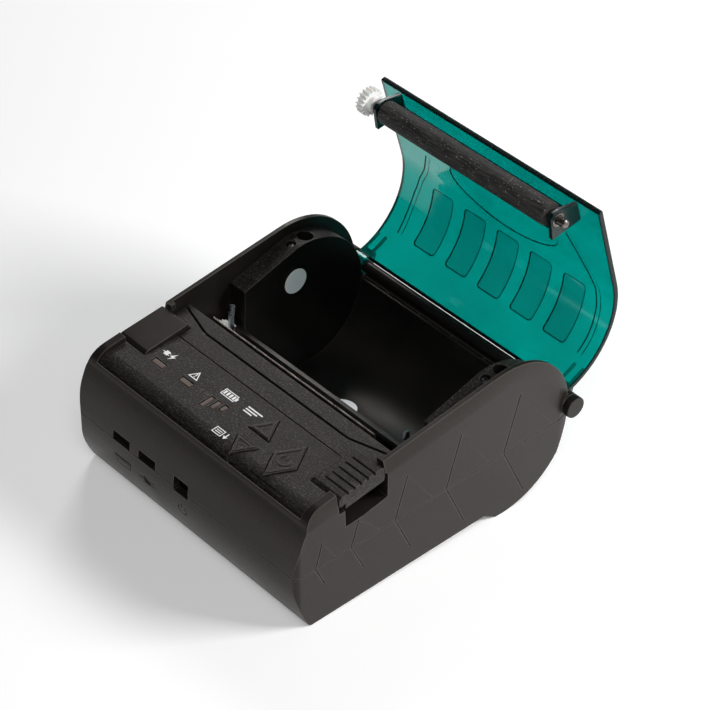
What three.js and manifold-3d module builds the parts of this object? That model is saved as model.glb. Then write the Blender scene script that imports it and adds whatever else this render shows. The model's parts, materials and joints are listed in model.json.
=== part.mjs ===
// Portable receipt printer with its lid open.
// Millimetres. +X is the user's right, +Y runs from the port face to the hinge, +Z is up.
// The design frame has y = 0 near the port face and z = 0 on the flat underside;
// the finished group is turned a little so that it stands on its front edge and its drum.
import * as THREE from 'three';
import { mergeVertices } from 'three/addons/utils/BufferGeometryUtils.js';
import Module from 'manifold-3d';

const wasm = await Module();
wasm.setup();

// ---- driving dimensions ----
const HALF_WIDTH = 54.5;        // outside of the case
const RAIL_INNER = 51.6;        // inner face of the side rails
const CHEEK_INNER = 43.8;       // inner face of the cheeks that hold the paper roll
const WALL = 2.2;
const GAP = 0.35;               // running and assembly clearance
const DRUM = { y: 87.5, z: 26, r: 29.7 };
const BAY_RADIUS = 25.2;        // takes a 50 mm paper roll
const TRAY_THICKNESS = 0.9;
const LIP_HALF = 41.7;
const SEAM_Z = 22.6;
const TOP_START = 45;           // height of the top line at y = 0
const TOP_SLOPE = 0.125;
const DECK_Z = 44.3;
const DECK_SLOPE = 0.045;
const DECK_THICKNESS = 2;
const DECK_HALF = 49.8;
const DECK_FRONT = 3.2;
const DECK_SEAM = 28.8;
const DECK_REAR = 35.8;
const TEAR_Y = 43.4;
const HINGE = { y: 117, z: 26.4, rod: 2.1, knuckle: 3.6, cap: 3.9 };
const OPEN_ANGLE = THREE.MathUtils.degToRad(81);
const LID = { half: 51, r: 28.6, t: 2, front: 48.8 };
const PLATEN = { y: 50.4, z: 38.9, r: 4.2, half: 38.5, shaft: 1.6 };
const GEAR_MODULE = 0.5;
const PLATEN_TEETH = 18;
const IDLER_TEETH = 36;
const PINION_TEETH = 12;
// Gear centres are the sum of the pitch radii apart, the platen's with the lid closed.
const IDLER = { y: PLATEN.y, z: PLATEN.z - (GEAR_MODULE * (PLATEN_TEETH + IDLER_TEETH)) / 2 };
const PINION_REACH = (GEAR_MODULE * (IDLER_TEETH + PINION_TEETH)) / 2;
const PINION_DROP = 5;          // how far the pinion's centre lies below the idler's
const PINION = { y: IDLER.y - Math.sqrt(PINION_REACH ** 2 - PINION_DROP ** 2), z: IDLER.z - PINION_DROP };
const LATCH = { y: 51.5, z: 27.5, r: 1.4 };
const LEVER = { x0: 40.9, y0: 15.2, y1: 34 };
const PAD = { x0: -HALF_WIDTH + 0.2, x1: -40.6, y0: 15.2, y1: 34 };
const PLATE_TOP = { z: 45.8, slope: 0.105 };  // top of the lever and the side pad at y = LEVER.y0
const FINGER_DEPTH = 47;        // x of the finger recess's inner wall
const CORNER = 2.6;             // vertical corners at the front
const RIM_BAND = 5.5;
const RIM_DEPTH = 1.4;
const FRONT = {
  foot: 3.2,                    // where the underside starts
  edgeY: 2,
  edgeZ: 40.5,                  // upper end of the front face
  bulge: -8.4,                  // control point of the front face's curve
  cornerY: 8.5,
  shoulderY: 3.4,
  reach: -3.3,                  // foremost line of the front face
  insideReach: -0.6,
};
const DRUM_FOOT = { y: 78.5, angle: -1.69 };  // where the drum leaves the underside
const FAR = 140;                // beyond every part
const SCREW_PLACES = [[-46, 12], [46, 12], [-46, 54], [46, 54]];
const SCREW_HEAD = 2.6;
const CHEEK_SCREW = { x: 47.1, y: 83.9, r: 1.4 };
const WELL_SCREW = { x: 47.4, y: 90.6, r: 2.4 };
const CHEEK_RADIUS = 25.9;
const KNUCKLES = [[-51, -45.2], [45.2, 51]];
const SLOT_RIBS = [-32, -16, 0, 16, 32];      // in the slot between the bay tray and the hinge rod
const HEAD_HALF = 36;
const STICKER_RADIUS = 4.8;
const STAND_ANGLE = Math.atan2(DRUM.r - DRUM.z, DRUM.y);

// ---- colours and finishes ----
const FINISH = {
  satinBlack: { color: 0x1b1a1a, roughness: 0.42, metalness: 0 },
  grainBlack: { color: 0x151515, roughness: 0.7, metalness: 0 },
  bayBlack: { color: 0x101012, roughness: 0.4, metalness: 0 },
  teal: { color: 0x00897d, roughness: 0.18, metalness: 0, transparent: true, opacity: 0.8 },
  rubber: { color: 0x1a1a1b, roughness: 0.85, metalness: 0 },
  nylon: { color: 0xe6e6e2, roughness: 0.5, metalness: 0 },
  steel: { color: 0x9aa2a8, roughness: 0.3, metalness: 1 },
  darkSteel: { color: 0x55585b, roughness: 0.4, metalness: 1 },
  aluminium: { color: 0xb0b3b5, roughness: 0.4, metalness: 1 },
  amber: { color: 0x3a241a, roughness: 0.2, metalness: 0 },
  board: { color: 0x14492c, roughness: 0.5, metalness: 0 },
  battery: { color: 0x2b3f66, roughness: 0.6, metalness: 0 },
  paper: { color: 0xeeeeec, roughness: 0.8, metalness: 0 },
};

// ---- solids ----
function solidOf(geometry) {
  const bare = geometry.index ? geometry.clone() : geometry;
  bare.deleteAttribute('normal');
  bare.deleteAttribute('uv');
  const merged = mergeVertices(bare, 1e-4);
  return new wasm.Manifold(new wasm.Mesh({
    numProp: 3,
    vertProperties: new Float32Array(merged.attributes.position.array),
    triVerts: new Uint32Array(merged.index.array),
  }));
}

function geometryOf(solid) {
  const mesh = solid.getMesh();
  const geometry = new THREE.BufferGeometry();
  geometry.setAttribute('position', new THREE.BufferAttribute(mesh.vertProperties, 3));
  geometry.setIndex(new THREE.BufferAttribute(mesh.triVerts, 1));
  geometry.computeVertexNormals();
  return geometry;
}

const join = (first, ...rest) => rest.reduce((all, next) => all.add(next), first);
const cut = (first, ...rest) => rest.reduce((all, next) => all.subtract(next), first);

const polygon = (points) => new THREE.Shape(points.map(([a, b]) => new THREE.Vector2(a, b)));

// The shape as straight segments, without points that coincide.
function outlineOf(shape, segments) {
  const points = shape.getPoints(segments);
  const apart = (a, b) => a.distanceTo(b) > 0.01;
  const kept = points.filter((point, i) => apart(point, points[(i + 1) % points.length]));
  return new THREE.Shape(kept);
}

// A (y, z) outline extruded along X from x0 to x1.
function alongX(shape, x0, x1, bevel = {}) {
  const options = { depth: x1 - x0, bevelEnabled: false, ...bevel };
  const geometry = new THREE.ExtrudeGeometry(outlineOf(shape, 24), options);
  geometry.applyMatrix4(new THREE.Matrix4().makeBasis(
    new THREE.Vector3(0, 1, 0), new THREE.Vector3(0, 0, 1), new THREE.Vector3(1, 0, 0)));
  geometry.translate(x0, 0, 0);
  return solidOf(geometry);
}

// An (x, y) outline extruded along Z from z0 to z1.
function alongZ(shape, z0, z1) {
  const geometry = new THREE.ExtrudeGeometry(outlineOf(shape, 8), { depth: z1 - z0, bevelEnabled: false });
  geometry.translate(0, 0, z0);
  return solidOf(geometry);
}

function box(x0, x1, y0, y1, z0, z1) {
  const geometry = new THREE.BoxGeometry(x1 - x0, y1 - y0, z1 - z0);
  geometry.translate((x0 + x1) / 2, (y0 + y1) / 2, (z0 + z1) / 2);
  return solidOf(geometry);
}

// A cylinder along X through (y, z).
function rodX(y, z, r, x0, x1, sides = 24) {
  const geometry = new THREE.CylinderGeometry(r, r, x1 - x0, sides);
  geometry.rotateZ(Math.PI / 2);
  geometry.translate((x0 + x1) / 2, y, z);
  return solidOf(geometry);
}

// A cylinder along Z through (x, y).
function rodZ(x, y, r, z0, z1, sides = 20) {
  const geometry = new THREE.CylinderGeometry(r, r, z1 - z0, sides);
  geometry.rotateX(Math.PI / 2);
  geometry.translate(x, y, (z0 + z1) / 2);
  return solidOf(geometry);
}

const topLine = (y) => TOP_START + TOP_SLOPE * y;
const deckLine = (y) => DECK_Z + DECK_SLOPE * y;

// Side outline of the case, drawn inset millimetres inside its outer face.
function caseOutline(inset, frontReach = 0, bottomReach = 0) {
  const r = DRUM.r - inset;
  const tilt = Math.atan(TOP_SLOPE);
  const tangent = Math.PI / 2 + tilt;
  const shape = new THREE.Shape();
  const frontTop = new THREE.Vector2(FRONT.edgeY + inset - frontReach, FRONT.edgeZ);
  const low = inset - bottomReach;
  shape.moveTo(FRONT.foot + inset - frontReach, low);
  if (bottomReach > 0) {
    shape.lineTo(DRUM.y + r, low);
    shape.absarc(DRUM.y, DRUM.z, r, 0, tangent, false);
  } else {
    shape.lineTo(DRUM_FOOT.y, low);
    shape.absarc(DRUM.y, DRUM.z, r, DRUM_FOOT.angle, tangent, false);
  }
  const drop = inset / Math.cos(tilt);
  const cornerY = FRONT.cornerY - frontReach;
  shape.lineTo(cornerY, topLine(cornerY) - drop);
  if (frontReach > 0) {
    shape.lineTo(frontTop.x, 0);
    return shape;
  }
  const shoulderZ = topLine(FRONT.shoulderY) - drop;
  shape.quadraticCurveTo(FRONT.shoulderY + inset, shoulderZ, frontTop.x, frontTop.y - inset);
  shape.quadraticCurveTo(FRONT.bulge + inset * 1.3, SEAM_Z - 2, FRONT.edgeY + inset, 1 + inset * 0.6);
  return shape;
}

// Rounded rectangle in plan.
function roundedPlan(halfWidth, y0, y1, r) {
  const shape = new THREE.Shape();
  shape.moveTo(-halfWidth + r, y0);
  shape.lineTo(halfWidth - r, y0);
  shape.absarc(halfWidth - r, y0 + r, r, -Math.PI / 2, 0, false);
  shape.lineTo(halfWidth, y1);
  shape.lineTo(-halfWidth, y1);
  shape.lineTo(-halfWidth, y0 + r);
  shape.absarc(-halfWidth + r, y0 + r, r, Math.PI, 1.5 * Math.PI, false);
  return shape;
}

// ---- the case ----
function caseEnvelope() {
  const body = alongX(caseOutline(0), -HALF_WIDTH, HALF_WIDTH);
  const plan = alongZ(roundedPlan(HALF_WIDTH, FRONT.reach, FAR, CORNER), -10, 70);
  const rim = alongX(caseOutline(0, 40, 40), -HALF_WIDTH + RIM_DEPTH, HALF_WIDTH - RIM_DEPTH, {
    bevelEnabled: true, bevelThickness: RIM_DEPTH, bevelSize: RIM_BAND, bevelOffset: -RIM_BAND,
    bevelSegments: 1,
  });
  return body.intersect(plan).intersect(rim);
}

function caseCavity() {
  return alongX(caseOutline(WALL), -RAIL_INNER, RAIL_INNER)
    .intersect(alongZ(roundedPlan(RAIL_INNER, FRONT.insideReach, FAR, CORNER - 1), -10, 70));
}

// The room that the closed lid and its hinge need, swept between the side rails.
function lidRoom() {
  const shape = new THREE.Shape();
  shape.moveTo(DECK_REAR + 0.2, deckLine(DECK_REAR) - 6);
  shape.lineTo(DRUM.y, DRUM.z - 2);
  shape.lineTo(FAR, DRUM.z - 2);
  shape.lineTo(FAR, 80);
  shape.lineTo(DECK_REAR + 0.2, 80);
  return alongX(shape, -RAIL_INNER, RAIL_INNER);
}

const SOCKETS = {
  data_socket: { x: -31.5, z: 24.3, w: 8.6, h: 3.6 },
  usb_socket: { x: -18.4, z: 24.3, w: 8.6, h: 3.6 },
};
const JACK = { x: -1.2, z: 24, w: 7.2, h: 5.8, bore: 2.2, pin: 0.6 };
const SOCKET_DEPTH = 7;

function portCuts() {
  return [...Object.values(SOCKETS), JACK].map(({ x, z, w, h }) =>
    box(x - w / 2, x + w / 2, -8, 9, z - h / 2, z + h / 2));
}

// The opening in the top that the three deck panels close.
function deckOpening() {
  return box(-DECK_HALF - GAP, DECK_HALF + GAP, DECK_FRONT - GAP, DECK_REAR + 0.6, 38, 70);
}

// Where the release lever sits, on top and down the right side, and the finger recess under it.
function leverRoom() {
  const top = box(LEVER.x0 - GAP, HALF_WIDTH + 5, LEVER.y0 - GAP, LEVER.y1 + GAP, 39.8, 70);
  const outline = polygon([[17.6, 33], [25, 33.4], [35.2, 35.2], [35.2, 45], [17.2, 45]]);
  const finger = alongX(outline, FINGER_DEPTH, 60);
  return top.add(finger);
}

const padRoom = () => box(-HALF_WIDTH - 5, PAD.x1 + GAP, PAD.y0 - GAP, PAD.y1 + GAP, 42, 70);

// The block that the finger recess is sunk into.
const fingerBlock = () => box(FINGER_DEPTH - 1, RAIL_INNER + 1, 16, 36.5, 31.8, 40.6);

const rodRelief = () => rodX(HINGE.y, HINGE.z, HINGE.rod + GAP, -70, 70);
const knuckleRelief = () => KNUCKLES.map(([x0, x1]) =>
  rodX(HINGE.y, HINGE.z, HINGE.knuckle + 0.6, x0 - 0.6, x1 + 0.6, 32));
const slotRib = (x) => box(x - 0.4, x + 0.4, 114, 115.8, SEAM_Z - 1, 23.9);

function upperCase() {
  const lugs = [-1, 1].map((side) => {
    const inner = side * RAIL_INNER;
    const outer = side * (HALF_WIDTH - 0.2);
    return rodX(HINGE.y, HINGE.z, HINGE.cap, Math.min(inner, outer), Math.max(inner, outer), 32);
  });
  const shell = join(cut(caseEnvelope(), caseCavity()), ...lugs, fingerBlock(), ...SLOT_RIBS.map(slotRib));
  return cut(shell, lidRoom(), deckOpening(), leverRoom(), padRoom(), rodRelief(), ...knuckleRelief(),
    box(-70, 70, -20, FAR, -20, SEAM_Z + GAP / 2), ...portCuts());
}

function lowerCase() {
  const bosses = SCREW_PLACES.map(([x, y]) => rodZ(x, y, 4, 1, 12));
  const shell = join(cut(caseEnvelope(), caseCavity()), ...bosses);
  const wells = SCREW_PLACES.flatMap(([x, y]) => [
    rodZ(x, y, SCREW_HEAD + GAP, -5, 4),
    rodZ(x, y, 1.5, -5, 20),
  ]);
  const trayRoom = rodX(DRUM.y, DRUM.z, BAY_RADIUS + TRAY_THICKNESS + 0.4, -RAIL_INNER, RAIL_INNER, 64);
  return cut(shell, box(-70, 70, -20, FAR, SEAM_Z - GAP / 2, 80), ...knuckleRelief(), trayRoom,
    ...portCuts(), ...wells);
}

function caseScrew([x, y]) {
  const head = rodZ(x, y, SCREW_HEAD, 1.6, 3.6);
  const slot = join(box(x - 1.6, x + 1.6, y - 0.35, y + 0.35, 1, 2.4),
    box(x - 0.35, x + 0.35, y - 1.6, y + 1.6, 1, 2.4));
  return cut(join(head, rodZ(x, y, 1.15, 3, 11)), slot);
}

// ---- deck panels ----
// Deck pieces are drawn flat, with w = 0 on the deck's top face, and turned onto its slope.
const KEYS = {
  mode_button: [[9.3, 17.1], [18.9, 17.1], [14.1, 25.6]],
  feed_button: [[9.6, 12.4], [14.4, 4.5], [19.2, 12.4]],
  power_button: [[29.3, 5.6], [34.7, 14.8], [29.3, 24], [23.9, 14.8]],
};
const LAMPS = {
  charge_window: { x: -34.2, y: 15.9, w: 5.2, d: 1.9 },
  error_window: { x: -21, y: 16.4, w: 5.2, d: 1.9 },
  level_window_1: { x: -9.2, y: 15.3, w: 1.5, d: 5.2 },
  level_window_2: { x: -6, y: 16.2, w: 1.5, d: 3.8 },
  level_window_3: { x: -2.9, y: 17, w: 1.5, d: 2.6 },
};
const KEY_FLANGE = 0.9;

// Offsets a convex outline outwards by d.
function grow(points, d) {
  const count = points.length;
  const centre = points.reduce(([a, b], [x, y]) => [a + x / count, b + y / count], [0, 0]);
  return points.map((point, i) => {
    const before = points[(i + count - 1) % count];
    const after = points[(i + 1) % count];
    const normals = [[before, point], [point, after]].map(([a, b]) => {
      const length = Math.hypot(b[0] - a[0], b[1] - a[1]);
      let n = [(b[1] - a[1]) / length, (a[0] - b[0]) / length];
      const out = (a[0] - centre[0]) * n[0] + (a[1] - centre[1]) * n[1];
      if (out < 0) {
        n = [-n[0], -n[1]];
      }
      return n;
    });
    const [n0, n1] = normals;
    const scale = d / (1 + n0[0] * n1[0] + n0[1] * n1[1]);
    return [point[0] + (n0[0] + n1[0]) * scale, point[1] + (n0[1] + n1[1]) * scale];
  });
}

function lampBox({ x, y, w, d }, clearance, z0, z1) {
  const dx = w / 2 + clearance;
  const dy = d / 2 + clearance;
  return box(x - dx, x + dx, y - dy, y + dy, z0, z1);
}

function frontDeck() {
  const profile = new THREE.Shape();
  profile.moveTo(DECK_FRONT, -DECK_THICKNESS - 2);
  profile.lineTo(DECK_FRONT + 2, -DECK_THICKNESS - 2);
  profile.lineTo(DECK_FRONT + 4.5, -DECK_THICKNESS);
  profile.lineTo(DECK_SEAM, -DECK_THICKNESS);
  profile.lineTo(DECK_SEAM, 0);
  profile.lineTo(DECK_FRONT + 5.5, 0);
  profile.quadraticCurveTo(DECK_FRONT + 1, -0.4, DECK_FRONT, -2.6);
  const holes = [
    ...Object.values(KEYS).map((points) => alongZ(polygon(grow(points, GAP)), -10, 5)),
    ...Object.values(KEYS).map((points) =>
      alongZ(polygon(grow(points, KEY_FLANGE + GAP)), -10, -DECK_THICKNESS)),
    ...Object.values(LAMPS).map((lamp) => lampBox(lamp, 0.3, -10, 5)),
    box(PAD.x0 - 5, PAD.x1 + GAP, PAD.y0 - GAP, 60, -10, 5),
    box(LEVER.x0 - GAP, 70, LEVER.y0 - GAP, 60, -10, 5),
  ];
  return cut(alongX(profile, -DECK_HALF, DECK_HALF), ...holes);
}

// The deck's rear edge steps back towards each side; the head cover's front edge runs along it.
const COVER_FRONT = { half: 35, middle: DECK_REAR, side: 40 };

function rearDeck() {
  const { half, middle, side } = COVER_FRONT;
  const inner = [PAD.x1 + GAP, LEVER.x0 - GAP];
  const plate = polygon([
    [inner[0], DECK_SEAM + GAP], [inner[1], DECK_SEAM + GAP], [inner[1], PAD.y1 + GAP],
    [DECK_HALF, PAD.y1 + GAP], [DECK_HALF, side], [half, middle], [-half, middle], [-DECK_HALF, side],
    [-DECK_HALF, PAD.y1 + GAP], [inner[0], PAD.y1 + GAP],
  ]);
  return alongZ(plate, -DECK_THICKNESS, 0);
}

function headCover() {
  const { half, middle, side } = COVER_FRONT;
  const rear = TEAR_Y - 1.6;
  const plate = polygon([
    [-half, middle + 0.7], [half, middle + 0.7], [DECK_HALF, side + 0.7], [DECK_HALF, rear],
    [-DECK_HALF, rear], [-DECK_HALF, side + 0.7],
  ]);
  return alongZ(plate, -1.6, 0.25);
}

// A smooth plate on the left that matches the release lever on the right.
function sidePad() {
  const plate = alongX(plateProfile(PAD), PAD.x0, PAD.x1);
  return cut(plate, outerBevel(-1));
}

function keyCap(points) {
  const flange = alongZ(polygon(grow(points, KEY_FLANGE)), -3.4, -2.6);
  return join(alongZ(polygon(points), -3.4, 0.5), flange);
}

// ---- release lever, latch shaft and hooks ----
const RIDGES = [18.4, 21.2, 24, 26.8, 29.6];
const RIDGE_WIDTH = 0.9;
const RIDGE_DEPTH = 0.8;
const padTop = (y) => PLATE_TOP.z + PLATE_TOP.slope * (y - LEVER.y0);

// Side outline shared by the release lever and the pad opposite it.
function plateProfile({ y0, y1 }) {
  return polygon([
    [y0, 42.4], [y1, 43.6], [y1, padTop(y1) - 0.8], [y1 - 0.8, padTop(y1)], [y0 + 1.2, padTop(y0)],
    [y0, 44.8],
  ]);
}

// Takes off the outer top edge of the lever or the pad, in line with the case's rim.
function outerBevel(side) {
  const corner = polygon([[52.4, 60], [60, 60], [60, 43], [54.4, 43]]);
  const geometry = new THREE.ExtrudeGeometry(corner, { depth: 40, bevelEnabled: false });
  geometry.applyMatrix4(new THREE.Matrix4().makeBasis(
    new THREE.Vector3(1, 0, 0), new THREE.Vector3(0, 0, 1), new THREE.Vector3(0, -1, 0)));
  geometry.translate(0, 45, 0);
  const solid = solidOf(geometry);
  return side < 0 ? solid.mirror([1, 0, 0]) : solid;
}

function releaseLever() {
  const top = alongX(plateProfile(LEVER), LEVER.x0, HALF_WIDTH - 0.2);
  const skirtOutline = polygon([[17.8, 40.6], [33.8, 42.6], [33.8, 46], [17.8, 45]]);
  const skirt = alongX(skirtOutline, 52.6, HALF_WIDTH - 0.2);
  const grooves = RIDGES.map((y) =>
    box(LEVER.x0 + 2.5, HALF_WIDTH + 2, y, y + RIDGE_WIDTH, padTop(y) - RIDGE_DEPTH, padTop(y) + 3));
  return cut(join(top, skirt), outerBevel(1), ...grooves);
}

// A steel tongue on the latch shaft; its nose leans towards the platen's bearing.
function latchHook(x0, x1) {
  const outline = polygon([
    [LATCH.y - 1.9, LATCH.z - 1.9], [LATCH.y + 1.9, LATCH.z - 1.9], [54.4, 31.5], [54.2, 38], [54.9, 43.4],
    [53.3, 44], [52.6, 41.5], [52.4, 31.5], [LATCH.y - 1.9, LATCH.z + 1.9],
  ]);
  return cut(alongX(outline, x0, x1), rodX(LATCH.y, LATCH.z, LATCH.r + 0.03, x0 - 1, x1 + 1, 16));
}

// ---- print head group ----
const TEAR = { half: 39.6, pitch: 1.5, root: 6.2, tip: 7, thickness: 0.5, z: 39.6, lean: 0.08 };

function tearBar() {
  const { half, pitch, root, tip, thickness, z, lean } = TEAR;
  const teeth = Math.floor((2 * half) / pitch);
  const shape = new THREE.Shape();
  shape.moveTo(-half, 0);
  shape.lineTo(half, 0);
  for (let i = 0; i < teeth; i += 1) {
    const x = half - i * pitch;
    shape.lineTo(x - 0.05, root);
    shape.lineTo(x - pitch / 2, tip);
  }
  shape.lineTo(-half, root);
  const geometry = new THREE.ExtrudeGeometry(shape, { depth: thickness, bevelEnabled: false });
  geometry.applyMatrix4(new THREE.Matrix4().makeBasis(
    new THREE.Vector3(1, 0, 0), new THREE.Vector3(0, lean, 1).normalize(),
    new THREE.Vector3(0, -1, lean).normalize()));
  geometry.translate(0, TEAR_Y - 0.4, z);
  return solidOf(geometry);
}

const printHead = () => box(-HEAD_HALF, HEAD_HALF, 45.1, 46, 31, 42.4);
const heatSink = () => box(-HEAD_HALF, HEAD_HALF, 40.1, 44.9, 28.5, 39.2);

// The steel frame behind the head; its two long arms carry the latch shaft.
function headFrame() {
  const bar = box(-43.2, 43.2, 33.6, 35.2, 24.6, 38.5);
  const arms = [-1, 1].map((side) => {
    const x = side * 41;
    const arm = box(x - 0.6, x + 0.6, 33.6, LATCH.y + 3, LATCH.z - 2.2, LATCH.z + 2.4);
    return cut(arm, rodX(LATCH.y, LATCH.z, LATCH.r + 0.2, x - 2, x + 2, 16));
  });
  return join(bar, ...arms);
}

const SPRING = { coil: 1.7, turns: 4, y: 35.7, length: 3.8, z: 34, wire: 0.25 };

function headSpring(x) {
  const { coil, turns, y, length, z } = SPRING;
  class Helix extends THREE.Curve {
    getPoint(t, target = new THREE.Vector3()) {
      const angle = t * 2 * Math.PI * turns;
      return target.set(x + coil * Math.cos(angle), y + length * t, z + coil * Math.sin(angle));
    }
  }
  const wire = new THREE.Shape().absarc(0, 0, SPRING.wire, 0, 2 * Math.PI, false);
  const options = { steps: 48, extrudePath: new Helix(), curveSegments: 3 };
  return solidOf(new THREE.ExtrudeGeometry(wire, options));
}

// ---- paper bay ----
function bayTray() {
  const start = THREE.MathUtils.degToRad(-145);
  const end = THREE.MathUtils.degToRad(-3);
  const outer = BAY_RADIUS + TRAY_THICKNESS;
  const shape = new THREE.Shape();
  shape.absarc(DRUM.y, DRUM.z, outer, start, end, false);
  shape.absarc(DRUM.y, DRUM.z, BAY_RADIUS, end, start, true);
  const trough = alongX(shape, -CHEEK_INNER + GAP, CHEEK_INNER - GAP);
  const footY = DRUM.y + BAY_RADIUS * Math.cos(start);
  const footZ = DRUM.z + BAY_RADIUS * Math.sin(start);
  const lip = alongX(polygon([
    [footY - 0.4, footZ - 1.2], [footY + 1.2, footZ - 0.2], [55.6, 34.8], [54, 35], [54, 33],
  ]), -LIP_HALF, LIP_HALF);
  return join(trough, lip);
}

function cheek(side) {
  const inner = side * CHEEK_INNER;
  const outer = side * (RAIL_INNER - 0.3);
  const x0 = Math.min(inner, outer);
  const x1 = Math.max(inner, outer);
  const disc = new THREE.Shape();
  const lowAngle = THREE.MathUtils.degToRad(-160);
  disc.moveTo(60.5, 44.9);
  disc.lineTo(60.5, 30);
  disc.lineTo(DRUM.y + CHEEK_RADIUS * Math.cos(lowAngle), DRUM.z + CHEEK_RADIUS * Math.sin(lowAngle));
  disc.absarc(DRUM.y, DRUM.z, CHEEK_RADIUS, lowAngle, THREE.MathUtils.degToRad(97), false);
  const plate = alongX(disc, x0, x1);
  const well = rodZ(side * WELL_SCREW.x, WELL_SCREW.y, WELL_SCREW.r + 0.5, 42, 70);
  const hole = rodZ(side * CHEEK_SCREW.x, CHEEK_SCREW.y, CHEEK_SCREW.r + GAP, 49.6, 70);
  return cut(plate, well, hole);
}

// A slotted screw seen from above.
function slottedScrew({ x, y, r }, side, z0, z1, slot) {
  const at = side * x;
  const groove = box(at - r * 0.65, at + r * 0.65, y - slot / 2, y + slot / 2, z1 - slot, z1 + 2);
  return cut(rodZ(at, y, r, z0, z1), groove);
}

// ---- electronics and drive ----
const circuitBoard = () => box(-40, 38, 4.2, 30, 18.6, 20.2);

// The room of a socket, inset on its four sides.
const socketBox = ({ x, z, w, h }, inset, y0, y1) =>
  box(x - w / 2 + inset, x + w / 2 - inset, y0, y1, z - h / 2 + inset, z + h / 2 - inset);

function socketShell(socket) {
  const { x, z, w } = socket;
  const outer = socketBox(socket, 0.3, 0.4, 0.4 + SOCKET_DEPTH);
  const mouth = socketBox(socket, 0.7, -2, SOCKET_DEPTH - 1);
  const tongue = box(x - w / 2 + 2, x + w / 2 - 2, 1.4, SOCKET_DEPTH, z - 0.3, z + 0.3);
  return join(cut(outer, mouth), tongue);
}

function powerJack() {
  const { x, z, bore, pin } = JACK;
  const hole = new THREE.CylinderGeometry(bore, bore, 8, 24);
  hole.translate(x, 4, z);
  const contact = new THREE.CylinderGeometry(pin, pin, 8, 12);
  contact.translate(x, 5, z);
  return join(cut(socketBox(JACK, 0.3, 0.4, 10), solidOf(hole)), solidOf(contact));
}

const batteryPack = () => box(-36, 36, 14, 50, 3, 17);

function spurGear(teeth, width, bore, x, y, z, phase) {
  const pitch = (teeth * GEAR_MODULE) / 2;
  const outer = pitch + GEAR_MODULE * 0.9;
  const root = pitch - GEAR_MODULE * 1.2;
  const shape = new THREE.Shape();
  const step = (2 * Math.PI) / teeth;
  const at = (radius, angle) => [radius * Math.cos(angle), radius * Math.sin(angle)];
  for (let i = 0; i < teeth; i += 1) {
    const a = phase + i * step;
    const flanks = [[root, -0.3], [outer, -0.12], [outer, 0.12], [root, 0.3]];
    flanks.forEach(([radius, share], k) => {
      const [u, v] = at(radius, a + step * share);
      if (i === 0 && k === 0) {
        shape.moveTo(u, v);
      } else {
        shape.lineTo(u, v);
      }
    });
  }
  const wheel = alongX(shape, x, x + width).translate([0, y, z]);
  return bore > 0 ? cut(wheel, rodX(y, z, bore, x - 1, x + width + 1, 16)) : wheel;
}

const GEAR_X = -48.6;
const IDLER_PHASE = Math.atan2(PINION.z - IDLER.z, PINION.y - IDLER.y);
const PINION_PHASE = IDLER_PHASE + Math.PI + Math.PI / PINION_TEETH;
const PLATEN_PHASE = Math.PI / PLATEN_TEETH;  // points a tooth at the idler when the lid is closed
const idlerGear = () => spurGear(IDLER_TEETH, 3, 1.75, GEAR_X, IDLER.y, IDLER.z, IDLER_PHASE);
const motorPinion = () => join(
  spurGear(PINION_TEETH, 3.4, 0, GEAR_X, PINION.y, PINION.z, PINION_PHASE),
  rodX(PINION.y, PINION.z, 0.65, GEAR_X + 0.2, -42.8, 12));
const feedMotor = () => cut(
  join(rodX(PINION.y, PINION.z, 4.6, -43.9, -37.2, 28), rodX(PINION.y, PINION.z, 2, -44.6, -43, 20)),
  rodX(PINION.y, PINION.z, 0.9, -50, -42.4, 12));
const idlerAxle = () => join(
  rodX(IDLER.y, IDLER.z, 1.5, GEAR_X - 1.2, -44.2, 16),
  rodX(IDLER.y, IDLER.z, 3, -45, -44.2, 20));

// ---- lid, drawn closed and turned open about the hinge rod ----
const lidEndAngle = THREE.MathUtils.degToRad(4.5);

function lidShell() {
  const tangent = Math.PI / 2 + Math.atan(TOP_SLOPE);
  const inner = LID.r - LID.t;
  const shape = new THREE.Shape();
  shape.absarc(DRUM.y, DRUM.z, LID.r, lidEndAngle, tangent, false);
  const line = (offset, y) => DRUM.z + offset * Math.hypot(1, TOP_SLOPE) + TOP_SLOPE * (y - DRUM.y);
  shape.lineTo(LID.front, line(LID.r, LID.front));
  shape.lineTo(LID.front, line(inner, LID.front));
  shape.absarc(DRUM.y, DRUM.z, inner, tangent, lidEndAngle, true);
  return alongX(shape, -LID.half, LID.half);
}

function lid() {
  const hooks = KNUCKLES.map(([x0, x1]) => {
    const barrel = rodX(HINGE.y, HINGE.z, HINGE.knuckle, x0, x1, 28);
    const web = alongX(polygon([
      [114.2, 28.2], [HINGE.y - 1.5, HINGE.z - 3], [HINGE.y + 3, HINGE.z + 1], [116.4, 30.4], [115.2, 31.8],
    ]), x0, x1);
    return join(barrel, web);
  });
  return cut(join(lidShell(), ...hooks), rodX(HINGE.y, HINGE.z, HINGE.rod + 0.2, -60, 60));
}

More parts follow.
